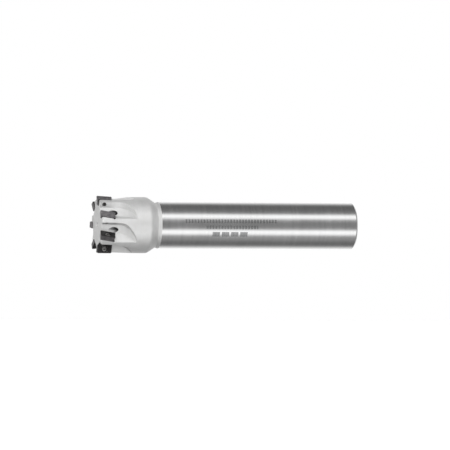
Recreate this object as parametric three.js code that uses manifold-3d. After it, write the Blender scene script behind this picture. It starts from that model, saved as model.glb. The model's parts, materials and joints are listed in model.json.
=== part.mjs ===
// Indexable face mill on a straight shank: a one-piece steel body with seven chip gullets and seven
// insert pockets, seven carbide inserts and the seven countersunk screws that clamp them.
//
// Millimetres, +Z up. The tool's axis is X: the cutting end points to -X, and the origin is the centre of
// the shank's rear end face. The cutter is right-handed: seen from behind, it turns clockwise.
import * as THREE from "three";
import { mergeVertices } from "three/addons/utils/BufferGeometryUtils.js";
import Module from "manifold-3d";

const wasm = await Module();
wasm.setup();

// Driving dimensions, in millimetres, and in degrees where the name says so.
const OVERALL_LENGTH = 182; // cutting plane to rear end face
const CUTTING_DIAMETER = 40;
const SHANK_DIAMETER = 32;
const TOOTH_COUNT = 7;
const FIRST_TOOTH_DEG = -79; // tooth 1, measured from -Y towards -Z
const AXIAL_RAKE_DEG = 10;
const RADIAL_RAKE_DEG = -11;
const FIT_GAP = 0.15; // between parts that touch

// Head. A station is a distance behind the head's front face.
const HEAD_FRONT_RADIUS = 18.5;
const HEAD_RADIUS = 19.25;
const FRONT_CHAMFER = 0.6;
const TAPER_END = 26.5;
const TAPER_BLEND = 3; // how far the taper's end is blended, both ways
const CONE_START = 34.2;
const CONE_EDGE_ROUND = 1.2;
const CONE_END = 40;
const NECK_RADIUS = 15.4;
const NECK_LENGTH = 0.5;
const SHANK_START = 42.3;
const SHANK_CHAMFER = 1;

// Coolant: an axial bore from the rear, and one outlet in each gullet.
const BORE_RADIUS = 5;
const BORE_END = 18.5;
const BORE_TIP = 2.9;
const BORE_MOUTH_CHAMFER = 1.2;
const OUTLET_RADIUS = 2;
const OUTLET_STATION = 8.6; // where the outlet's axis leaves the gullet's core
const OUTLET_HEIGHT = 2.3; // in front of the tooth's middle plane
const OUTLET_SLOPE_DEG = 35;
const OUTLET_REACH = 5; // how far the drill came through the core's surface

// Centre hole in the front face.
const CENTRE_MOUTH_RADIUS = 1.9;
const CENTRE_PILOT_RADIUS = 0.8;
const CENTRE_DEPTH = 3.2;

// Gullets: a core, and on both sides of it a wall that leans outwards.
const CORE_RADIUS = 13.3;
const GULLET_LEAN_DEG = 41;
const GULLET_RIM_RADIUS = 16.85; // the rim on the tooth ahead, in the tooth's frame
const GULLET_RIM_HEIGHT = 9.1;
const GULLET_RIM_SLOPE = 0.04;
const GULLET_FLOOR_RADIUS = 18.65; // the rim behind the insert
const GULLET_FLOOR_HEIGHT = -4.8;
const GULLET_CURVE_START = 12; // station where the rim starts to curve round
const GULLET_END = 24.8;
const GULLET_END_HEIGHT = -6.5;
const GULLET_START_HANDLE = 0.43; // the rim curve's control points, as shares of its length and height
const GULLET_END_HANDLE = 0.22;
const GULLET_END_RISE = 0.28;
const GULLET_RUNOUT_START = 11;
const GULLET_RUNOUT_RADIUS = 19;
const STEP_BELOW_RAKE = 0.4; // how far the gullet goes below the rake face beside the insert
const STEP_OVERLAP = 1.5; // how far the gullet's floor reaches over the insert's rear

// Inserts.
const INSERT_LENGTH = 11;
const INSERT_WIDTH = 6.35;
const INSERT_THICKNESS = 3.97;
const INSERT_SKEW = 0.5;
const INSERT_CORNER_RADIUS = 0.8;
const INSERT_RELIEF_DEG = 11;
const INSERT_OVERHANG = 1.2; // in front of the head's front face
const SEAT_RELIEF_RADIUS = 0.9;
const SEAT_RELIEF_INSET = 0.75; // the rear wall's relief, in from the insert's rear edge
const CORNER_RELIEF_INSET = 0.2; // the inner rear corner's relief, in from the corner both ways
const CORNER_RELIEF_TOP = 0.4; // above the rake face

// Insert screws, M2.5.
const SCREW_RADIUS = 1.2;
const SCREW_HEAD_RADIUS = 1.8;
const SCREW_HEAD_RIM = 0.35;
const SCREW_HEAD_SINK = 0.35; // below the rake face
const SCREW_LENGTH = 6.9;
const SCREW_TIP_CHAMFER = 0.25;
const SCREW_SOCKET_RADIUS = 0.82;
const SCREW_SOCKET_LOBE = 0.13;
const SCREW_SOCKET_DEPTH = 0.9;
const HOLE_CLEARANCE = 0.2;
const TAPPED_HOLE_RADIUS = 1.36;
const TAPPED_HOLE_END = 11;
const BACK_RELIEF_RADIUS = 1.65;
const BACK_RELIEF_START = 7.35;

// Worked out from the above.
const BODY_LENGTH = OVERALL_LENGTH - INSERT_OVERHANG;
const SHANK_RADIUS = SHANK_DIAMETER / 2;
const AXIAL_RAKE = THREE.MathUtils.degToRad(AXIAL_RAKE_DEG);
const RADIAL_RAKE = THREE.MathUtils.degToRad(RADIAL_RAKE_DEG);
const INSERT_RADIUS = CUTTING_DIAMETER / 2 - (INSERT_WIDTH / 2) * Math.cos(RADIAL_RAKE);
const INSERT_HEIGHT = -(INSERT_WIDTH / 2) * Math.sin(RADIAL_RAKE);
const INSERT_STATION = (INSERT_LENGTH / 2) * Math.cos(AXIAL_RAKE) - INSERT_OVERHANG;
const GULLET_LEAN = Math.tan(THREE.MathUtils.degToRad(GULLET_LEAN_DEG));

// How finely round shapes are faceted.
const BODY_FACETS = 70;
const HOLE_FACETS = 16;
const ARC_STEPS = 6;
const WALL_STEPS = 9;
const MERGE_DISTANCE = 1e-4;
const CLEARANCE_LENGTH = 30; // longer than anything a cutter has to pass through
const CUT_MARGIN = 1; // past a face that a cutter comes out through
const CONE_60 = Math.sqrt(3); // length per unit of radius on a 60 degree cone

const STEEL_SATIN = { color: 0xb9bab9, roughness: 0.42, metalness: 1 };
const CARBIDE = { color: 0x2b2b2d, roughness: 0.5, metalness: 0.6 };
const SCREW_STEEL = { color: 0x6f7072, roughness: 0.35, metalness: 1 };

// Axes of a tooth's frame: across is radial and outwards, back is along the tool's axis to the rear, and
// ahead is the way the tooth moves. The frame's origin is on the tool's axis at the head's front face.
const ACROSS = new THREE.Vector3(1, 0, 0);
const BACK = new THREE.Vector3(0, 1, 0);
const AHEAD = new THREE.Vector3(0, 0, 1);

function solidFrom(geometry) {
  const bare = geometry.clone();
  bare.deleteAttribute("normal");
  bare.deleteAttribute("uv");
  const merged = mergeVertices(bare, MERGE_DISTANCE);
  const corners = merged.index.array;
  const kept = [];
  for (let i = 0; i < corners.length; i += 3) {
    const [a, b, c] = corners.slice(i, i + 3);
    if (a !== b && b !== c && c !== a) kept.push(a, b, c);
  }
  const vertProperties = merged.attributes.position.array;
  const triVerts = new Uint32Array(kept);
  return new wasm.Manifold(new wasm.Mesh({ numProp: 3, vertProperties, triVerts }));
}

function geometryFrom(solid) {
  const mesh = solid.getMesh();
  const geometry = new THREE.BufferGeometry();
  geometry.setAttribute("position", new THREE.BufferAttribute(mesh.vertProperties, 3));
  geometry.setIndex(new THREE.BufferAttribute(mesh.triVerts, 1));
  geometry.computeVertexNormals();
  return geometry;
}

// A prism with its section in the plane of two axes. It runs along a third, which may lean.
function prism(shape, sectionX, sectionY, along, origin, length, curveSegments = ARC_STEPS) {
  const geometry = new THREE.ExtrudeGeometry(shape, {
    depth: length,
    bevelEnabled: false,
    curveSegments,
  });
  const place = new THREE.Matrix4().makeBasis(sectionX, sectionY, along).setPosition(origin);
  return solidFrom(geometry.applyMatrix4(place));
}

// A round bar from one point to another.
function rod(radius, from, to) {
  const length = from.distanceTo(to);
  const geometry = new THREE.CylinderGeometry(radius, radius, length, HOLE_FACETS);
  const turn = new THREE.Quaternion().setFromUnitVectors(BACK, to.clone().sub(from).normalize());
  const middle = from.clone().lerp(to, 0.5);
  const place = new THREE.Matrix4().compose(middle, turn, new THREE.Vector3(1, 1, 1));
  return solidFrom(geometry.applyMatrix4(place));
}

// A solid of revolution about the insert frame's normal. The path holds radius and height.
function turned(path, facets) {
  const geometry = new THREE.LatheGeometry(path.getPoints(ARC_STEPS), facets);
  return solidFrom(geometry.rotateX(Math.PI / 2));
}

// The tooth frame's place on the tool, and the insert frame's place in the tooth frame. The insert's
// frame has its origin in the middle of the rake face, with x outwards, y to the rear and z out of it.
function toothPlace(tooth) {
  const angle = THREE.MathUtils.degToRad(FIRST_TOOTH_DEG + (tooth * 360) / TOOTH_COUNT);
  const frame = new THREE.Matrix4().makeBasis(
    new THREE.Vector3(0, -1, 0),
    new THREE.Vector3(1, 0, 0),
    new THREE.Vector3(0, 0, 1),
  );
  return new THREE.Matrix4()
    .makeTranslation(-BODY_LENGTH, 0, 0)
    .multiply(new THREE.Matrix4().makeRotationX(angle))
    .multiply(frame);
}

function insertPlace() {
  return new THREE.Matrix4()
    .makeTranslation(INSERT_RADIUS, INSERT_STATION, INSERT_HEIGHT)
    .multiply(new THREE.Matrix4().makeRotationY(-RADIAL_RAKE))
    .multiply(new THREE.Matrix4().makeRotationX(-AXIAL_RAKE));
}

// ---- Insert ----

// The insert's outline, a skewed rectangle with round corners, grown by a margin on every side.
function insertOutline(margin) {
  const x = INSERT_WIDTH / 2 + margin;
  const y = INSERT_LENGTH / 2 + margin;
  const near = y - INSERT_SKEW;
  const r = INSERT_CORNER_RADIUS;
  const shape = new THREE.Shape();
  shape.moveTo(x, -y + r);
  shape.lineTo(x, near - r);
  shape.quadraticCurveTo(x, near, x - r, near);
  shape.lineTo(-x + r, y);
  shape.quadraticCurveTo(-x, y, -x, y - r);
  shape.lineTo(-x, -near + r);
  shape.quadraticCurveTo(-x, -near, -x + r, -near);
  shape.lineTo(x - r, -y);
  shape.quadraticCurveTo(x, -y, x, -y + r);
  return shape;
}

// The insert's blank: its sides draw in towards the seat by the relief angle.
function insertBlank(margin, top, bottom) {
  const geometry = new THREE.ExtrudeGeometry(insertOutline(margin), {
    depth: top - bottom,
    bevelEnabled: false,
    curveSegments: ARC_STEPS / 2,
  });
  geometry.translate(0, 0, bottom);
  const position = geometry.attributes.position;
  for (let i = 0; i < position.count; i++) {
    const drawn = position.getZ(i) * Math.tan(THREE.MathUtils.degToRad(INSERT_RELIEF_DEG));
    position.setX(i, position.getX(i) * (1 + drawn / (INSERT_WIDTH / 2 + margin)));
    position.setY(i, position.getY(i) * (1 + drawn / (INSERT_LENGTH / 2 + margin)));
  }
  return solidFrom(geometry);
}

// The screw's outside, grown by a clearance. It is also the shape of the hole it goes through.
function screwPath(clearance, top, bottom) {
  const rim = -SCREW_HEAD_SINK - SCREW_HEAD_RIM;
  const coneEnd = rim - (SCREW_HEAD_RADIUS - SCREW_RADIUS) * CONE_60;
  const path = new THREE.Path();
  path.moveTo(0, bottom);
  path.lineTo(SCREW_RADIUS - SCREW_TIP_CHAMFER + clearance, bottom);
  path.lineTo(SCREW_RADIUS + clearance, bottom + SCREW_TIP_CHAMFER);
  path.lineTo(SCREW_RADIUS + clearance, coneEnd);
  path.lineTo(SCREW_HEAD_RADIUS + clearance, rim);
  path.lineTo(SCREW_HEAD_RADIUS + clearance, top);
  path.lineTo(0, top);
  return path;
}

function insertGeometry() {
  const hole = turned(screwPath(HOLE_CLEARANCE, CUT_MARGIN, -INSERT_THICKNESS - CUT_MARGIN), HOLE_FACETS);
  return geometryFrom(insertBlank(0, 0, -INSERT_THICKNESS).subtract(hole));
}

// ---- Screw ----

// The six-lobed socket that the key goes into.
function socketShape() {
  const points = [];
  for (let i = 0; i < 6 * ARC_STEPS; i++) {
    const angle = (i / (6 * ARC_STEPS)) * 2 * Math.PI;
    const radius = SCREW_SOCKET_RADIUS + SCREW_SOCKET_LOBE * Math.cos(6 * angle);
    points.push(new THREE.Vector2(radius * Math.cos(angle), radius * Math.sin(angle)));
  }
  return new THREE.Shape(points);
}

function screwGeometry() {
  const top = -SCREW_HEAD_SINK;
  const outside = turned(screwPath(0, top, top - SCREW_LENGTH), HOLE_FACETS);
  const bottom = AHEAD.clone().multiplyScalar(top - SCREW_SOCKET_DEPTH);
  const socket = prism(socketShape(), ACROSS, BACK, AHEAD, bottom, SCREW_SOCKET_DEPTH + CUT_MARGIN);
  return geometryFrom(outside.subtract(socket));
}

// ---- Body ----

// The body's outside and its bore, as radius and station.
function bodyPath() {
  const cone = (HEAD_RADIUS - NECK_RADIUS) / (CONE_END - CONE_START);
  const taper = (HEAD_RADIUS - HEAD_FRONT_RADIUS) / (TAPER_END - FRONT_CHAMFER);
  const path = new THREE.Path();
  path.moveTo(0, CENTRE_DEPTH);
  path.lineTo(CENTRE_PILOT_RADIUS, CENTRE_DEPTH - CENTRE_PILOT_RADIUS / 2);
  path.lineTo(CENTRE_PILOT_RADIUS, (CENTRE_MOUTH_RADIUS - CENTRE_PILOT_RADIUS) * CONE_60);
  path.lineTo(CENTRE_MOUTH_RADIUS, 0);
  path.lineTo(HEAD_FRONT_RADIUS - FRONT_CHAMFER, 0);
  path.lineTo(HEAD_FRONT_RADIUS, FRONT_CHAMFER);
  path.lineTo(HEAD_RADIUS - taper * TAPER_BLEND, TAPER_END - TAPER_BLEND);
  path.quadraticCurveTo(HEAD_RADIUS, TAPER_END, HEAD_RADIUS, TAPER_END + TAPER_BLEND);
  path.lineTo(HEAD_RADIUS, CONE_START - CONE_EDGE_ROUND);
  path.quadraticCurveTo(
    HEAD_RADIUS,
    CONE_START,
    HEAD_RADIUS - cone * CONE_EDGE_ROUND,
    CONE_START + CONE_EDGE_ROUND,
  );
  path.lineTo(NECK_RADIUS, CONE_END);
  path.lineTo(NECK_RADIUS, CONE_END + NECK_LENGTH);
  path.lineTo(SHANK_RADIUS, SHANK_START);
  path.lineTo(SHANK_RADIUS, BODY_LENGTH - SHANK_CHAMFER);
  path.lineTo(SHANK_RADIUS - SHANK_CHAMFER, BODY_LENGTH);
  path.lineTo(BORE_RADIUS + BORE_MOUTH_CHAMFER, BODY_LENGTH);
  path.lineTo(BORE_RADIUS, BODY_LENGTH - BORE_MOUTH_CHAMFER);
  path.lineTo(BORE_RADIUS, BORE_END);
  path.lineTo(0, BORE_END - BORE_TIP);
  return path;
}

function bodyBlank() {
  const geometry = new THREE.LatheGeometry(bodyPath().getPoints(ARC_STEPS / 2), BODY_FACETS);
  geometry.rotateZ(-Math.PI / 2);
  return solidFrom(geometry.translate(-BODY_LENGTH, 0, 0));
}

// The gullet's front wall, which is the back of the tooth ahead. Seen from outside, its rim runs back
// almost level and then curves round behind the insert. It leans, so that the tooth ahead is as thick at
// its root as at its rim.
function gulletWall() {
  const front = GULLET_RIM_HEIGHT + GULLET_RIM_SLOPE * (GULLET_CURVE_START + CLEARANCE_LENGTH);
  const length = GULLET_END - GULLET_CURVE_START;
  const shape = new THREE.Shape();
  shape.moveTo(-CLEARANCE_LENGTH, -CLEARANCE_LENGTH);
  shape.lineTo(GULLET_END, -CLEARANCE_LENGTH);
  shape.lineTo(GULLET_END, GULLET_END_HEIGHT);
  shape.bezierCurveTo(
    GULLET_END - GULLET_END_HANDLE * length,
    GULLET_END_RISE * GULLET_RIM_HEIGHT,
    GULLET_CURVE_START + GULLET_START_HANDLE * length,
    GULLET_RIM_HEIGHT,
    GULLET_CURVE_START,
    GULLET_RIM_HEIGHT,
  );
  shape.lineTo(-CLEARANCE_LENGTH, front);
  const along = ACROSS.clone().addScaledVector(AHEAD, GULLET_LEAN);
  const origin = AHEAD.clone().multiplyScalar(-GULLET_RIM_RADIUS * GULLET_LEAN);
  return prism(shape, BACK, AHEAD, along, origin, CLEARANCE_LENGTH, WALL_STEPS);
}

// The gullet's core: level beside the insert, then an arc that runs out through the head's surface.
function gulletCore() {
  const centre = CORE_RADIUS + GULLET_RUNOUT_RADIUS;
  const shape = new THREE.Shape();
  shape.moveTo(CORE_RADIUS, -CLEARANCE_LENGTH);
  shape.lineTo(centre, -CLEARANCE_LENGTH);
  shape.lineTo(centre, GULLET_RUNOUT_START + GULLET_RUNOUT_RADIUS);
  shape.absarc(centre, GULLET_RUNOUT_START, GULLET_RUNOUT_RADIUS, Math.PI / 2, Math.PI, false);
  const origin = AHEAD.clone().multiplyScalar(-CLEARANCE_LENGTH / 2);
  return prism(shape, ACROSS, BACK, AHEAD, origin, 2 * CLEARANCE_LENGTH);
}

// The gullet's back wall, behind the insert, leans the other way.
function gulletFloor() {
  const height = (radius) => GULLET_FLOOR_HEIGHT + (GULLET_FLOOR_RADIUS - radius) * GULLET_LEAN;
  const shape = new THREE.Shape();
  shape.moveTo(0, height(0));
  shape.lineTo(CLEARANCE_LENGTH, height(CLEARANCE_LENGTH));
  shape.lineTo(CLEARANCE_LENGTH, CLEARANCE_LENGTH);
  shape.lineTo(0, CLEARANCE_LENGTH);
  const origin = BACK.clone().multiplyScalar(2 * CLEARANCE_LENGTH);
  return prism(shape, ACROSS, AHEAD, BACK.clone().negate(), origin, 3 * CLEARANCE_LENGTH);
}

// Beside the insert the gullet stops just below the rake face. Behind the insert it goes down to the floor.
function gulletStep() {
  const rear = INSERT_STATION + INSERT_LENGTH / 2 - STEP_OVERLAP;
  const rakeHeight = (station) => (INSERT_STATION - station) * Math.tan(AXIAL_RAKE) - STEP_BELOW_RAKE;
  const shape = new THREE.Shape();
  shape.moveTo(rear, -CLEARANCE_LENGTH);
  shape.lineTo(2 * CLEARANCE_LENGTH, -CLEARANCE_LENGTH);
  shape.lineTo(2 * CLEARANCE_LENGTH, CLEARANCE_LENGTH);
  shape.lineTo(-CLEARANCE_LENGTH, CLEARANCE_LENGTH);
  shape.lineTo(-CLEARANCE_LENGTH, rakeHeight(-CLEARANCE_LENGTH));
  shape.lineTo(rear, rakeHeight(rear));
  const lean = Math.tan(RADIAL_RAKE);
  const along = ACROSS.clone().addScaledVector(AHEAD, lean);
  const origin = AHEAD.clone().multiplyScalar(-(CUTTING_DIAMETER / 2) * lean);
  return prism(shape, BACK, AHEAD, along, origin, CLEARANCE_LENGTH);
}

// The coolant outlet comes out of the bore and leaves the core aimed at the cutting corner.
function coolantOutlet() {
  const slope = THREE.MathUtils.degToRad(OUTLET_SLOPE_DEG);
  const forwards = new THREE.Vector3(Math.sin(slope), -Math.cos(slope), 0);
  const mouth = new THREE.Vector3(CORE_RADIUS, OUTLET_STATION, OUTLET_HEIGHT);
  const toBore = (CORE_RADIUS - BORE_RADIUS / 2) / Math.sin(slope);
  const from = mouth.clone().addScaledVector(forwards, -toBore);
  const to = mouth.clone().addScaledVector(forwards, OUTLET_REACH);
  return rod(OUTLET_RADIUS, from, to);
}

// The pocket, in the insert's frame: the seat and its two walls, the corner reliefs and the tapped hole.
function pocket() {
  const seat = -INSERT_THICKNESS - FIT_GAP;
  const rear = INSERT_LENGTH / 2 - SEAT_RELIEF_INSET;
  const inner = -INSERT_WIDTH / 2 + SEAT_RELIEF_RADIUS;
  const edge = (x) => new THREE.Vector3(x, rear, seat + SEAT_RELIEF_RADIUS / 2);
  const cornerX = -INSERT_WIDTH / 2 + CORNER_RELIEF_INSET;
  const corner = (z) => new THREE.Vector3(cornerX, INSERT_LENGTH / 2 - CORNER_RELIEF_INSET, z);
  const normal = (height) => new THREE.Vector3(0, 0, height);
  return insertBlank(FIT_GAP, CUT_MARGIN, seat)
    .add(rod(SEAT_RELIEF_RADIUS, edge(inner), edge(INSERT_WIDTH)))
    .add(rod(SEAT_RELIEF_RADIUS, corner(seat), corner(CORNER_RELIEF_TOP)))
    .add(rod(TAPPED_HOLE_RADIUS, normal(0), normal(-TAPPED_HOLE_END)))
    .add(rod(BACK_RELIEF_RADIUS, normal(-BACK_RELIEF_START), normal(-TAPPED_HOLE_END)));
}

// Everything that is cut away for one tooth, in the tooth's frame.
function toothCut() {
  const gullet = gulletWall().intersect(gulletCore()).intersect(gulletFloor()).intersect(gulletStep());
  const placedPocket = solidFrom(geometryFrom(pocket()).applyMatrix4(insertPlace()));
  return geometryFrom(gullet.add(placedPocket).add(coolantOutlet()));
}

function bodyGeometry() {
  const cut = toothCut();
  let body = bodyBlank();
  for (let tooth = 0; tooth < TOOTH_COUNT; tooth++) {
    body = body.subtract(solidFrom(cut.clone().applyMatrix4(toothPlace(tooth))));
  }
  return geometryFrom(body);
}

// ---- Assembly ----

function part(name, geometry, look) {
  const mesh = new THREE.Mesh(geometry, new THREE.MeshStandardMaterial(look));
  mesh.name = name;
  return mesh;
}

const faceMill = new THREE.Group();
faceMill.add(part("cutter_body", bodyGeometry(), STEEL_SATIN));

const sharedInsert = insertGeometry();
const sharedScrew = screwGeometry();
for (let tooth = 0; tooth < TOOTH_COUNT; tooth++) {
  const seat = new THREE.Group();
  seat.applyMatrix4(toothPlace(tooth).multiply(insertPlace()));
  seat.add(part(`insert_${tooth + 1}`, sharedInsert, CARBIDE));
  seat.add(part(`insert_screw_${tooth + 1}`, sharedScrew, SCREW_STEEL));
  faceMill.add(seat);
}

export default faceMill;
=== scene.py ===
"""Looks of an indexable face mill on a straight shank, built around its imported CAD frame."""

import json
import math

import bmesh
import bpy
import numpy as np
from mathutils import Matrix, Vector
from mathutils.bvhtree import BVHTree


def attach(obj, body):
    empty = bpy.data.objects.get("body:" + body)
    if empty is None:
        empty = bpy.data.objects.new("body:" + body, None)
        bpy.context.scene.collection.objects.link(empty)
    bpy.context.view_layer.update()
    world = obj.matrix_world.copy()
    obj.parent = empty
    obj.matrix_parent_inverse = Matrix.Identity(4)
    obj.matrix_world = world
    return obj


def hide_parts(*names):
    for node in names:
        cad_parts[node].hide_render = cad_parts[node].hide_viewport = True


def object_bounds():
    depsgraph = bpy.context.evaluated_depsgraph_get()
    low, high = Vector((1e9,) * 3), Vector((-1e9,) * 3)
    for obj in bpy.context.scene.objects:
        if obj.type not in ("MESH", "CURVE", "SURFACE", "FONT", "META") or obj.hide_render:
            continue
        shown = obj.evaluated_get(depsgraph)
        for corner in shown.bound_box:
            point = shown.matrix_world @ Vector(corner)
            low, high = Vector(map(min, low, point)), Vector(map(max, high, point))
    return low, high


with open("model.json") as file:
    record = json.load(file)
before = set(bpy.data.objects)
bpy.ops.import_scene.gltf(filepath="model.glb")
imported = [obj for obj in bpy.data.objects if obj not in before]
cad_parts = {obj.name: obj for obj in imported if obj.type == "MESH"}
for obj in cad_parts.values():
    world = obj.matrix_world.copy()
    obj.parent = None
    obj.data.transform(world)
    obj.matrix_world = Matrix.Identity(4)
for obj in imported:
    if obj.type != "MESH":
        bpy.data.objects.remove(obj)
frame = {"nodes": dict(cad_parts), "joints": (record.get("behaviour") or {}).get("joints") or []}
cad_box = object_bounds()
LOW, HIGH = cad_box
CENTRE = (LOW + HIGH) / 2
BODY = "cutter_body"
JOINTS = {joint["name"]: joint for joint in frame["joints"]}
TEETH = sorted(name for name in frame["nodes"] if name.startswith("insert_") and "screw" not in name)
MM = 0.001  # inserts and screws are drawn in millimetres
WHITE = (1.0, 1.0, 1.0, 1.0)


# ---- node helpers ----

def new_material(name):
    made = bpy.data.materials.new(name)
    made.use_nodes = True
    tree = made.node_tree
    tree.nodes.clear()
    out = tree.nodes.new("ShaderNodeOutputMaterial")
    shader = tree.nodes.new("ShaderNodeBsdfPrincipled")
    tree.links.new(shader.outputs[0], out.inputs[0])
    return made, tree, shader


def node(tree, kind, settings=None, **inputs):
    """A node with its settings and inputs. An input is a name, or a number as _0, with a value or socket."""
    made = tree.nodes.new(kind)
    for key, value in (settings or {}).items():
        setattr(made, key, value)
    for key, value in inputs.items():
        socket = made.inputs[int(key[1:])] if key[1:].isdigit() else made.inputs[key.replace("_", " ")]
        if isinstance(value, bpy.types.NodeSocket):
            tree.links.new(value, socket)
        else:
            socket.default_value = value
    return made


def noise(tree, stretch, detail=4.0, roughness=0.55):
    """Noise over the object's coordinates, which are stretched by a factor on each axis."""
    place = node(tree, "ShaderNodeTexCoord")
    vector = node(tree, "ShaderNodeMapping", Vector=place.outputs["Object"], Scale=stretch).outputs[0]
    made = node(tree, "ShaderNodeTexNoise", Vector=vector, Scale=1.0, Detail=detail, Roughness=roughness)
    return made.outputs["Fac"]


def ramp(tree, value, stops):
    made = node(tree, "ShaderNodeValToRGB", Fac=value)
    elements = made.color_ramp.elements
    while len(elements) < len(stops):
        elements.new(1.0)
    for element, (at, colour) in zip(elements, stops):
        element.position = at
        element.color = colour if len(colour) == 4 else (*colour, 1.0)
    return made.outputs[0]


def grey(value):
    return (value, value, value, 1.0)


def maths(tree, how, a, b):
    return node(tree, "ShaderNodeMath", {"operation": how}, _0=a, _1=b).outputs[0]


def is_near(tree, value, middle, reach):
    """1 where a value is within reach of the middle, and 0 elsewhere."""
    return node(tree, "ShaderNodeMath", {"operation": "COMPARE"}, _0=value, _1=middle, _2=reach).outputs[0]


def mix_colour(tree, how, factor, a, b):
    made = node(tree, "ShaderNodeMix", {"data_type": "RGBA", "blend_type": how}, _0=factor, _6=a, _7=b)
    return made.outputs[2]


def to_range(tree, value, low, high, start=0.0, end=1.0):
    return node(tree, "ShaderNodeMapRange", Value=value, From_Min=start, From_Max=end, To_Min=low,
                To_Max=high).outputs[0]


def bump(tree, height, distance, strength):
    return node(tree, "ShaderNodeBump", Height=height, Distance=distance, Strength=strength).outputs[0]


# ---- materials ----

# Rows of plain etched dashes on the shank: distance from the front, half the length, height as an angle
# about the axis, half the angle it covers, the pitch of the dashes, and the share of it that is etched.
MARKS = [
    (0.092, 0.033, 0.188, 0.080, 0.0021, 0.62),
    (0.0925, 0.0185, -0.075, 0.075, 0.0021, 0.62),
    (0.091, 0.013, -0.385, 0.105, 0.0065, 0.80),
]


def etched(tree):
    """A mask of the etched dashes, 1 inside them."""
    place = node(tree, "ShaderNodeTexCoord")
    split = node(tree, "ShaderNodeSeparateXYZ", Vector=place.outputs["Object"])
    x = split.outputs["X"]
    angle = maths(tree, "ARCTAN2", split.outputs["Z"], maths(tree, "MULTIPLY", split.outputs["Y"], -1.0))
    total = 0.0
    for at, half, height, reach, pitch, share in MARKS:
        inside = is_near(tree, x, LOW.x + at, half)
        row = is_near(tree, angle, height, reach)
        pitches = maths(tree, "MULTIPLY", maths(tree, "ADD", x, 1.0), 1.0 / pitch)
        part = maths(tree, "FRACT", pitches, 0.0)
        dash = maths(tree, "LESS_THAN", part, share)
        mark = maths(tree, "MULTIPLY", maths(tree, "MULTIPLY", inside, row), dash)
        total = maths(tree, "ADD", mark, total)
    return total


def ground_steel():
    """Shank: cylindrically ground, so the marks run round the axis, with rows of etched dashes."""
    made, tree, shader = new_material("ground_steel")
    fine = noise(tree, (5200.0, 60.0, 60.0), 3.0, 0.7)
    coarse = noise(tree, (900.0, 22.0, 22.0), 4.0, 0.6)
    cloud = noise(tree, (38.0, 60.0, 60.0), 3.0, 0.5)
    both = maths(tree, "ADD", maths(tree, "MULTIPLY", fine, 0.55), maths(tree, "MULTIPLY", coarse, 0.45))
    shades = [(0.3, (0.56, 0.562, 0.566)), (0.5, (0.64, 0.641, 0.643)), (0.7, (0.70, 0.70, 0.70))]
    base = ramp(tree, both, shades)
    stain = ramp(tree, cloud, [(0.35, (0.93, 0.93, 0.925)), (0.65, WHITE)])
    ground = mix_colour(tree, "MULTIPLY", 1.0, base, stain)
    mark = maths(tree, "MULTIPLY", etched(tree), to_range(tree, fine, 0.45, 0.85, 0.3, 0.7))
    colour = mix_colour(tree, "MIX", mark, ground, (0.13, 0.132, 0.135, 1.0))
    tree.links.new(colour, shader.inputs["Base Color"])
    shader.inputs["Metallic"].default_value = 1.0
    rough = to_range(tree, both, 0.12, 0.22, 0.3, 0.7)
    rough = maths(tree, "ADD", rough, to_range(tree, cloud, -0.015, 0.03, 0.3, 0.7))
    rough = maths(tree, "ADD", rough, maths(tree, "MULTIPLY", mark, 0.2))
    tree.links.new(rough, shader.inputs["Roughness"])
    shader.inputs["Anisotropic"].default_value = 0.6
    tangent = node(tree, "ShaderNodeTangent", {"direction_type": "RADIAL", "axis": "X"})
    tree.links.new(tangent.outputs[0], shader.inputs["Tangent"])
    tree.links.new(bump(tree, both, 0.000012, 0.35), shader.inputs["Normal"])
    return made


def satin_steel():
    """Head: milled and turned, then nickel plated, with a satin grain. Painted shade darkens its recesses."""
    made, tree, shader = new_material("satin_steel")
    grain = noise(tree, (3800.0, 3800.0, 3800.0), 3.0, 0.6)
    rings = noise(tree, (2600.0, 45.0, 45.0), 3.0, 0.65)
    cloud = noise(tree, (150.0, 150.0, 150.0), 4.0, 0.55)
    both = maths(tree, "ADD", maths(tree, "MULTIPLY", grain, 0.6), maths(tree, "MULTIPLY", rings, 0.4))
    shades = [(0.3, (0.69, 0.692, 0.69)), (0.5, (0.76, 0.76, 0.757)), (0.7, (0.81, 0.808, 0.80))]
    base = ramp(tree, both, shades)
    stain = ramp(tree, cloud, [(0.35, (0.93, 0.93, 0.925)), (0.62, WHITE)])
    # Painted shade: an ambient occlusion mask darkens the colour in recesses and crevices, where shade falls.
    open_to_light = node(tree, "ShaderNodeAmbientOcclusion", {"samples": 8}, Distance=0.006).outputs["AO"]
    painted_recess_shade = ramp(tree, open_to_light, [(0.12, grey(0.14)), (0.42, grey(0.55)), (0.74, WHITE)])
    plated = mix_colour(tree, "MULTIPLY", 1.0, base, stain)
    colour = mix_colour(tree, "MULTIPLY", 1.0, plated, painted_recess_shade)
    tree.links.new(colour, shader.inputs["Base Color"])
    shader.inputs["Metallic"].default_value = 0.7
    rough = to_range(tree, both, 0.50, 0.62, 0.3, 0.7)
    rough = maths(tree, "ADD", rough, to_range(tree, cloud, -0.03, 0.03, 0.3, 0.7))
    tree.links.new(rough, shader.inputs["Roughness"])
    tree.links.new(bump(tree, both, 0.00002, 0.4), shader.inputs["Normal"])
    return made


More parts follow.
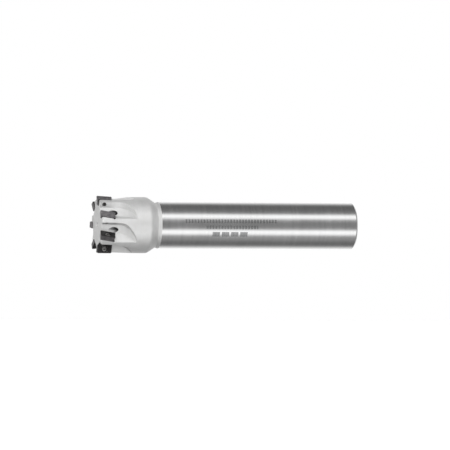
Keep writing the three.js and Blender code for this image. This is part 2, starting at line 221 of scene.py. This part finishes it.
def coated_carbide(name="coated_carbide", lighter=1.0, rough_base=0.30):
    """Insert: ground carbide under a dark hard coating, worn to a lighter grey on its edges."""
    made, tree, shader = new_material(name)
    grain = noise(tree, (6500.0, 6500.0, 6500.0), 3.0, 0.6)
    cloud = noise(tree, (700.0, 700.0, 700.0), 4.0, 0.55)
    shades = [(0.3, (0.030, 0.029, 0.031)), (0.55, (0.045, 0.043, 0.044)), (0.75, (0.065, 0.061, 0.060))]
    base = ramp(tree, cloud, [(at, tuple(lighter * part for part in shade)) for at, shade in shades])
    point = node(tree, "ShaderNodeNewGeometry").outputs["Pointiness"]
    broken = maths(tree, "ADD", point, to_range(tree, grain, -0.02, 0.02))
    wear = ramp(tree, broken, [(0.535, grey(0)), (0.60, grey(0.8))])
    colour = mix_colour(tree, "MIX", wear, base, (0.16, 0.155, 0.15, 1.0))
    tree.links.new(colour, shader.inputs["Base Color"])
    shader.inputs["Metallic"].default_value = 0.75
    rough = to_range(tree, maths(tree, "ADD", grain, cloud), rough_base, rough_base + 0.16, 0.6, 1.4)
    tree.links.new(rough, shader.inputs["Roughness"])
    tree.links.new(bump(tree, grain, 0.000012, 0.5), shader.inputs["Normal"])
    return made


def screw_steel():
    """Insert screws: hardened alloy steel with a thin dark oxide, worn bright on its edges."""
    made, tree, shader = new_material("screw_steel")
    grain = noise(tree, (5200.0, 5200.0, 5200.0), 3.0, 0.6)
    cloud = noise(tree, (900.0, 900.0, 900.0), 4.0, 0.55)
    shades = [(0.3, (0.26, 0.255, 0.25)), (0.55, (0.36, 0.355, 0.35)), (0.75, (0.46, 0.455, 0.45))]
    base = ramp(tree, cloud, shades)
    point = node(tree, "ShaderNodeNewGeometry").outputs["Pointiness"]
    wear = ramp(tree, point, [(0.53, grey(0)), (0.60, grey(0.7))])
    colour = mix_colour(tree, "MIX", wear, base, (0.62, 0.61, 0.60, 1.0))
    tree.links.new(colour, shader.inputs["Base Color"])
    shader.inputs["Metallic"].default_value = 1.0
    rough = to_range(tree, maths(tree, "ADD", grain, cloud), 0.26, 0.42, 0.6, 1.4)
    tree.links.new(rough, shader.inputs["Roughness"])
    tree.links.new(bump(tree, grain, 0.00001, 0.5), shader.inputs["Normal"])
    return made


GROUND = ground_steel()
SATIN = satin_steel()
CARBIDE = coated_carbide()
FLANK = coated_carbide("ground_flank", 4.4, 0.34)
SCREW = screw_steel()


def give(obj, *materials):
    if len(obj.data.materials):
        obj.data.materials.clear()
    for material in materials:
        obj.data.materials.append(material)


# ---- mesh helpers ----

def finished(name, data, materials, body, node_name):
    """An object for a finished mesh, which stands for a CAD node and rides on that node's body."""
    obj = bpy.data.objects.new(name, data)
    bpy.context.scene.collection.objects.link(obj)
    give(obj, *materials)
    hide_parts(node_name)
    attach(obj, body)


def loft(name, loops, closed=False, tips=()):
    """A mesh skin over loops of points. Each loop is (points, number of its material).

    A closed skin joins its last loop to its first. Otherwise a tip closes each end."""
    mesh = bmesh.new()
    rows = [[mesh.verts.new(point) for point in points] for points, _ in loops]
    count, last = len(rows[0]), len(rows) - 1
    pairs = [(i, i + 1) for i in range(last)]
    if closed:
        pairs.append((last, 0))
    for low, high in pairs:
        for i in range(count):
            j = (i + 1) % count
            face = mesh.faces.new((rows[low][i], rows[low][j], rows[high][j], rows[high][i]))
            face.material_index = loops[high][1]
    for end, tip in zip((0, last), tips):
        point = mesh.verts.new(tip)
        for i in range(count):
            mesh.faces.new((rows[end][i], rows[end][(i + 1) % count], point))
    bmesh.ops.recalc_face_normals(mesh, faces=mesh.faces)
    data = bpy.data.meshes.new(name)
    mesh.to_mesh(data)
    mesh.free()
    return data


def round_by_angle(data, degrees):
    """Smooth shading, except across the edges that are sharper than an angle."""
    data.shade_smooth()
    data.set_sharp_from_angle(angle=math.radians(degrees))


# ---- inserts ----

# An insert's frame has its origin in the middle of the rake face, x outwards along that face, y along the
# cutting edge and z out of the face.

WIDTH, LENGTH, THICK = 6.35, 11.0, 3.97
SKEW, CORNER, LEAST_CORNER = 0.5, 0.8, 0.16
RELIEF = math.tan(math.radians(11))
HOLE, HEAD_HOLE = 1.4, 2.0  # radii of the hole for the screw's shaft and for its head
CONE_SLOPE = math.sqrt(3)  # depth over radius of a 60 degree cone
CORNER_POINTS, LONG_POINTS, SHORT_POINTS = 8, 30, 14

COATED, GROUND_SIDE = 0, 1  # numbers of the insert's materials
SIDE_DEPTHS = (THICK - 0.12, THICK * 0.66, THICK * 0.33, 0.4, 0.05)
CUTTING_EDGE = ((0.004, -0.022), (0.018, -0.006), (0.04, 0.0), (0.15, -0.012))  # inset and height
GROOVE = (  # inset, height, and height of the bumps on it
    (0.26, -0.07, 0.0), (0.42, -0.17, 0.03), (0.56, -0.22, 0.07), (0.70, -0.20, 0.07), (0.82, -0.12, 0.02),
)
GROOVE_BUMP_PITCH = 1.35
PLATEAU_INSET, PLATEAU_HEIGHT = 1.0, -0.05
PLATEAU_SHARES = (0.0, 0.12, 0.88, 1.0)  # its loops are close to its edges, so that it looks flat


def outline(inset):
    """The insert's outline, drawn in by an inset: a skewed rectangle with round corners."""
    x, y = WIDTH / 2 - inset, LENGTH / 2 - inset
    near = y - SKEW
    r = max(CORNER - inset, LEAST_CORNER)
    corners = [(x, near), (-x, y), (-x, -near), (x, -y)]
    points = []
    for i, (cx, cy) in enumerate(corners):
        sx, sy = math.copysign(1, cx), math.copysign(1, cy)
        centre = (cx - sx * r, cy - sy * r)
        start = i * math.pi / 2
        for k in range(CORNER_POINTS + 1):
            a = start + math.pi / 2 * k / CORNER_POINTS
            points.append((centre[0] + r * math.cos(a), centre[1] + r * math.sin(a)))
        nx, ny = corners[(i + 1) % 4]
        following = (nx - math.copysign(1, nx) * r, ny - math.copysign(1, ny) * r)
        end = (i + 1) * math.pi / 2
        to = (following[0] + r * math.cos(end), following[1] + r * math.sin(end))
        at = points[-1]
        steps = SHORT_POINTS if i % 2 == 0 else LONG_POINTS
        for k in range(1, steps):
            t = k / steps
            points.append((at[0] + (to[0] - at[0]) * t, at[1] + (to[1] - at[1]) * t))
    return points


SPOKES = [math.atan2(y, x) for x, y in outline(0.9)]


def ring(radius):
    """A circle, with a point in line with each point of the outline."""
    return [(radius * math.cos(a), radius * math.sin(a)) for a in SPOKES]


def between(outer, inner, share):
    """A loop part of the way from one loop to another."""
    return [(a + (c - a) * share, b + (d - b) * share) for (a, b), (c, d) in zip(outer, inner)]


def at_height(points, z, place):
    return [place @ Vector((x * MM, y * MM, z * MM)) for x, y in points]


def dimpled(points, z, height, place):
    """A loop of the chip groove, whose floor rises in a row of small bumps along the edges."""
    made = []
    for x, y in points:
        rise = 0.5 + 0.5 * math.cos(2 * math.pi * y / GROOVE_BUMP_PITCH)
        made.append(place @ Vector((x * MM, y * MM, (z + height * rise) * MM)))
    return made


def insert_mesh(name, place):
    """An insert: its underside, sides, cutting edge, chip groove and plateau, and the screw's hole."""
    loops = [(at_height(ring(HOLE + 0.14), -THICK, place), COATED)]
    loops.append((at_height(outline(THICK * RELIEF + 0.16), -THICK, place), COATED))
    for depth in SIDE_DEPTHS:
        loops.append((at_height(outline(depth * RELIEF), -depth, place), GROUND_SIDE))
    for inset, z in CUTTING_EDGE:
        loops.append((at_height(outline(inset), z, place), COATED))
    for inset, z, height in GROOVE:
        loops.append((dimpled(outline(inset), z, height, place), COATED))
    loops.append((at_height(outline(0.92), -0.055, place), COATED))
    rim, hole_rim = outline(PLATEAU_INSET), ring(HEAD_HOLE + 0.10)
    for share in PLATEAU_SHARES:
        loops.append((at_height(between(rim, hole_rim, share), PLATEAU_HEIGHT, place), COATED))
    cone_end = -0.7 - (HEAD_HOLE - HOLE) * CONE_SLOPE
    hole = (  # radius and height
        (HEAD_HOLE + 0.04, -0.08), (HEAD_HOLE, -0.16), (HEAD_HOLE, -0.68), (HEAD_HOLE - 0.03, -0.74),
        (HOLE + 0.03, cone_end + 0.04), (HOLE, cone_end - 0.03), (HOLE, -THICK + 0.16),
    )
    for radius, z in hole:
        loops.append((at_height(ring(radius), z, place), COATED))
    data = loft(name, loops, closed=True)
    round_by_angle(data, 40)
    return data



# ---- screws ----

# A screw is drawn in its insert's frame, with its axis on z.

SHAFT, SCREW_HEAD, SCREW_LENGTH, SINK = 1.2, 1.8, 6.9, 0.35
PITCH, THREAD_DEPTH, THREAD_STEPS = 0.45, 0.24, 8
SCREW_SPOKES = 72
SOCKET_LOBES, SOCKET_TIP = 6, 1.12
SOCKET = (  # radius, lobe and depth, from the floor up to the mouth
    (0.50, 0.05, 0.96), (0.80, 0.12, 0.88), (0.82, 0.13, 0.80), (0.82, 0.13, 0.07), (0.85, 0.13, 0.015),
    (0.90, 0.13, 0.0),
)
HEAD = (  # radius and depth, from the socket's mouth out and over the rim
    (1.16, 0.005), (1.45, 0.035), (1.66, 0.085), (1.77, 0.155), (SCREW_HEAD, 0.24), (SCREW_HEAD, 0.35),
)


def plain(radius):
    return [radius] * SCREW_SPOKES


def lobes(radius, lobe):
    turns = (2 * math.pi * i / SCREW_SPOKES for i in range(SCREW_SPOKES))
    return [radius + lobe * math.cos(SOCKET_LOBES * a) for a in turns]


def threaded(z, fade):
    """Radii of the shaft at a height on its helical thread. The thread fades out at its ends."""
    radii = []
    for i in range(SCREW_SPOKES):
        phase = (z / PITCH - i / SCREW_SPOKES) % 1.0
        ridge = 1 - abs(2 * phase - 1)
        radii.append(SHAFT - THREAD_DEPTH + THREAD_DEPTH * max(0.0, fade) * min(1.0, ridge * 1.15))
    return radii


def turned_loop(radii, z, place):
    """A loop round the screw's axis, with a radius for each of its points."""
    made = []
    for i, radius in enumerate(radii):
        a = 2 * math.pi * i / SCREW_SPOKES
        made.append(place @ Vector((radius * math.cos(a) * MM, radius * math.sin(a) * MM, z * MM)))
    return made


def screw_mesh(name, place):
    """A countersunk screw: a six-lobed socket, a rounded head rim, a cone and a rolled thread."""
    top = -SINK
    cone_end = top - 0.35 - (SCREW_HEAD - SHAFT) * CONE_SLOPE
    sections = [(lobes(radius, lobe), top - depth) for radius, lobe, depth in SOCKET]
    sections += [(plain(radius), top - depth) for radius, depth in HEAD]
    sections.append((plain(SHAFT + 0.03), cone_end + 0.04))
    sections.append((plain(SHAFT - 0.06), cone_end - 0.04))
    sections.append((plain(SHAFT - 0.08), cone_end - 0.5))
    start, end = cone_end - 0.6, top - SCREW_LENGTH + 0.12
    steps = int((start - end) / PITCH * THREAD_STEPS)
    for k in range(steps + 1):
        z = start + (end - start) * k / steps
        fade = min(1.0, (start - z) / PITCH, (z - end) / (0.6 * PITCH) + 0.05)
        sections.append((threaded(z, fade), z))
    sections.append((plain(SHAFT - 0.38), top - SCREW_LENGTH))
    loops = [(turned_loop(radii, z, place), 0) for radii, z in sections]
    tips = [place @ Vector((0, 0, (top - depth) * MM)) for depth in (SOCKET_TIP, SCREW_LENGTH)]
    data = loft(name, loops, tips=tips)
    round_by_angle(data, 38)
    return data


def insert_place(tooth):
    """An insert's frame, from its screw's joint, whose axis is the normal of the rake face."""
    joint = JOINTS[f"screw_turn_{tooth}"]
    at, normal = Vector(joint["pos_m"]), Vector(joint["axis"]).normalized()
    x = normal.cross(Vector((1, 0, 0))).normalized()
    if x.dot(Vector((0, at.y, at.z))) < 0:
        x.negate()
    y = normal.cross(x)
    return Matrix.Translation(at) @ Matrix((x, y, normal)).transposed().to_4x4()


for insert_node in TEETH:
    tooth = int(insert_node.split("_")[1])
    screw_node = f"insert_screw_{tooth}"
    place = insert_place(tooth)
    insert, screw = f"coated_insert_{tooth}", f"socket_screw_{tooth}"
    finished(insert, insert_mesh(insert, place), (CARBIDE, FLANK), insert_node, insert_node)
    finished(screw, screw_mesh(screw, place), (SCREW,), screw_node, screw_node)


# ---- body ----

GROUND_FROM, GROUND_RADIUS = LOW.x + 0.0428, 0.0149  # what is behind and outside these is ground
EDGE_WIDTH, EDGE_ANGLE = 0.0001, math.radians(28)
FLAT_ANGLE, MERGE_DISTANCE = math.radians(0.2), 5e-5
BEVEL_ROUNDS, NEAR_FOLD = 8, 0.00012
SPECK, WHOLE_FACE = 1e-13, 4e-6  # a fold's area is between these
TURNED_OVER = -0.05  # cosine of the angle to the surface, below which a triangle is turned over


def folded_points(data, surface):
    """Points of the triangles that a bevel has turned over, against the surface it started from."""
    data.calc_loop_triangles()
    points = []
    for triangle in data.loop_triangles:
        corners = [data.vertices[i].co.copy() for i in triangle.vertices]
        middle = (corners[0] + corners[1] + corners[2]) / 3
        if not SPECK < triangle.area < WHOLE_FACE:
            continue
        if triangle.normal.dot(surface.find_nearest(middle)[1]) < TURNED_OVER:
            points += [middle, *corners]
    return np.array(points)


def modified(data, kind, **settings):
    """A copy of a mesh with one modifier applied."""
    obj = bpy.data.objects.new("modified", data)
    bpy.context.scene.collection.objects.link(obj)
    modifier = obj.modifiers.new("modifier", kind)
    for key, value in settings.items():
        setattr(modifier, key, value)
    baked = bpy.data.meshes.new_from_object(obj.evaluated_get(bpy.context.evaluated_depsgraph_get()))
    bpy.data.objects.remove(obj)
    return baked


def body_mesh():
    """The CAD body with its flat facets joined and its edges broken, as a deburred edge is.

    An edge stays sharp where its neighbours are too close for the bevel to fit between them."""
    mesh = bmesh.new()
    mesh.from_mesh(frame["nodes"][BODY].data)
    surface = BVHTree.FromBMesh(mesh)
    bmesh.ops.remove_doubles(mesh, verts=mesh.verts, dist=MERGE_DISTANCE)
    bmesh.ops.dissolve_limit(mesh, angle_limit=FLAT_ANGLE, verts=mesh.verts, edges=mesh.edges)
    mesh.normal_update()
    layer = mesh.edges.layers.float.new("bevel_weight_edge")
    edges = [e for e in mesh.edges if len(e.link_faces) == 2 and e.calc_face_angle(0.0) > EDGE_ANGLE]
    start = np.array([e.verts[0].co for e in edges])
    along = np.array([e.verts[1].co for e in edges]) - start
    weight = np.ones(len(edges))
    for _ in range(BEVEL_ROUNDS):
        for edge, w in zip(edges, weight):
            edge[layer] = float(w)
        data = bpy.data.meshes.new("cutter")
        mesh.to_mesh(data)
        baked = modified(data, "BEVEL", width=EDGE_WIDTH, segments=2, limit_method="WEIGHT",
                         use_clamp_overlap=False, loop_slide=False)
        points = folded_points(baked, surface)
        for point in points:
            part = np.clip(((point - start) * along).sum(1) / (along * along).sum(1), 0, 1)
            gap = np.linalg.norm(start + along * part[:, None] - point, axis=1)
            weight[gap < NEAR_FOLD] = 0.0
        if not len(points):
            break
    mesh.free()
    return baked


def finished_body():
    data = body_mesh()
    round_by_angle(data, 34)
    data = modified(data, "WEIGHTED_NORMAL", keep_sharp=True, mode="FACE_AREA")
    finished("cutter", data, (SATIN, GROUND), BODY, BODY)
    for polygon in data.polygons:
        at = polygon.center
        ground = at.x > GROUND_FROM and math.hypot(at.y, at.z) > GROUND_RADIUS
        polygon.material_index = 1 if ground else 0


finished_body()


# ---- stage, lights and camera ----

FLOOR_RADIUS, FLOOR_HEIGHT, FLOOR_GLOW = 5.0, -0.16, 0.62


def pale_floor():
    """A wide pale floor well below the tool, clear from below. The metal mirrors the studio round it."""
    mesh = bmesh.new()
    bmesh.ops.create_circle(mesh, cap_ends=True, segments=96, radius=FLOOR_RADIUS)
    bmesh.ops.translate(mesh, vec=(CENTRE.x, 0, FLOOR_HEIGHT), verts=mesh.verts)
    data = bpy.data.meshes.new("floor")
    mesh.to_mesh(data)
    mesh.free()
    obj = bpy.data.objects.new("floor", data)
    bpy.context.scene.collection.objects.link(obj)
    made, tree, shader = new_material("pale_floor")
    cloud = noise(tree, (2.0, 2.0, 2.0), 3.0)
    base = ramp(tree, cloud, [(0.3, (0.88, 0.88, 0.875)), (0.7, (0.92, 0.92, 0.915))])
    tree.links.new(base, shader.inputs["Base Color"])
    shader.inputs["Roughness"].default_value = 0.9
    shader.inputs["Emission Color"].default_value = WHITE
    shader.inputs["Emission Strength"].default_value = FLOOR_GLOW
    under = node(tree, "ShaderNodeNewGeometry").outputs["Backfacing"]
    clear = node(tree, "ShaderNodeBsdfTransparent").outputs[0]
    seen = node(tree, "ShaderNodeMixShader", _0=under, _1=shader.outputs[0], _2=clear)
    tree.links.new(seen.outputs[0], tree.nodes["Material Output"].inputs[0])
    give(obj, made)
    obj.visible_glossy = False
    obj.visible_diffuse = False


# The studio round the tool, as brightness by angle about the tool's axis: 0 is in front, 90 above and
# 180 behind. Two soft strips stand in front, above and below, and a white wall behind.
STUDIO = [
    (-180, 1.25), (-159, 1.2), (-140, 0.95), (-128, 0.58), (-117, 0.30), (-103, 0.20), (-88, 0.24),
    (-74, 0.36), (-62, 0.42), (-54, 0.50), (-48, 0.85), (-42, 1.55), (-27, 1.75), (-21, 0.95), (-15, 0.46),
    (-8, 0.34), (10, 0.30), (20, 0.35), (28, 0.52), (33, 0.90), (39, 1.60), (51, 1.70), (57, 1.00),
    (63, 0.42), (70, 0.27), (86, 0.20), (103, 0.18), (117, 0.20), (128, 0.36), (140, 0.80), (159, 1.2),
    (180, 1.25),
]
# A factor on that brightness by direction along the tool: -1 is ahead of the cutting end, 1 behind the shank.
SIDES = [(-0.96, 1.9), (-0.8, 0.6), (-0.3, 0.36), (-0.12, 0.60), (0.05, 1.0), (0.55, 1.0), (0.8, 0.45)]


def studio():
    """The world: white to the camera, and the studio's strips and walls to everything else."""
    world = bpy.data.worlds.new("studio")
    world.use_nodes = True
    tree = world.node_tree
    tree.nodes.clear()
    out = tree.nodes.new("ShaderNodeOutputWorld")
    place = node(tree, "ShaderNodeTexCoord")
    split = node(tree, "ShaderNodeSeparateXYZ", Vector=place.outputs["Generated"])
    forwards = maths(tree, "MULTIPLY", split.outputs["Y"], -1.0)
    angle = maths(tree, "ARCTAN2", split.outputs["Z"], forwards)
    turn = to_range(tree, angle, 0.0, 1.0, -math.pi, math.pi)
    around = ramp(tree, turn, [((at + 180) / 360, grey(value)) for at, value in STUDIO])
    along = to_range(tree, split.outputs["X"], 0.0, 1.0, -1.0, 1.0)
    sides = ramp(tree, along, [((at + 1) / 2, grey(value)) for at, value in SIDES])
    seen = mix_colour(tree, "MULTIPLY", 1.0, around, sides)
    to_camera = node(tree, "ShaderNodeLightPath").outputs["Is Camera Ray"]
    colour = mix_colour(tree, "MIX", to_camera, seen, WHITE)
    back = node(tree, "ShaderNodeBackground", Color=colour, Strength=1.0)
    tree.links.new(back.outputs[0], out.inputs[0])
    bpy.context.scene.world = world


def softbox(name, at, size, power):
    """A large soft light, aimed at the tool's middle. The metal doesn't mirror it."""
    light = bpy.data.lights.new(name, "AREA")
    light.shape = "RECTANGLE"
    light.size, light.size_y = size
    light.energy = power
    obj = bpy.data.objects.new(name, light)
    bpy.context.scene.collection.objects.link(obj)
    obj.location = at
    obj.rotation_euler = (CENTRE - Vector(at)).to_track_quat("-Z", "Y").to_euler()
    obj.visible_camera = False
    obj.visible_glossy = False


KEY_AT, KEY_SIZE, KEY_POWER = (-0.55, -1.25, 0.45), (1.2, 0.7), 32.0

pale_floor()
studio()
softbox("key", KEY_AT, KEY_SIZE, KEY_POWER)
bpy.context.scene.view_settings.view_transform = "Standard"

AZIMUTH, ELEVATION, ROLL = -13.5, 0.0, 0.30
FRAME_WIDTH, LENS, SENSOR = 0.3103, 400.0, 36.0
LOOK_AT = Vector((-0.0907, 0.0, 0.0004))


def camera():
    data = bpy.data.cameras.new("camera")
    data.lens = LENS
    data.sensor_width = SENSOR
    obj = bpy.data.objects.new("camera", data)
    bpy.context.scene.collection.objects.link(obj)
    a, e = math.radians(AZIMUTH), math.radians(ELEVATION)
    back = Vector((math.sin(a) * math.cos(e), -math.cos(a) * math.cos(e), math.sin(e)))
    distance = FRAME_WIDTH * LENS / SENSOR
    right = Vector((0, 0, 1)).cross(back).normalized()
    up = back.cross(right)
    turn = Matrix.Rotation(math.radians(ROLL), 4, "Z")
    facing = Matrix((right, up, back)).transposed().to_4x4()
    obj.matrix_world = Matrix.Translation(LOOK_AT + back * distance) @ facing @ turn
    bpy.context.scene.camera = obj


camera()
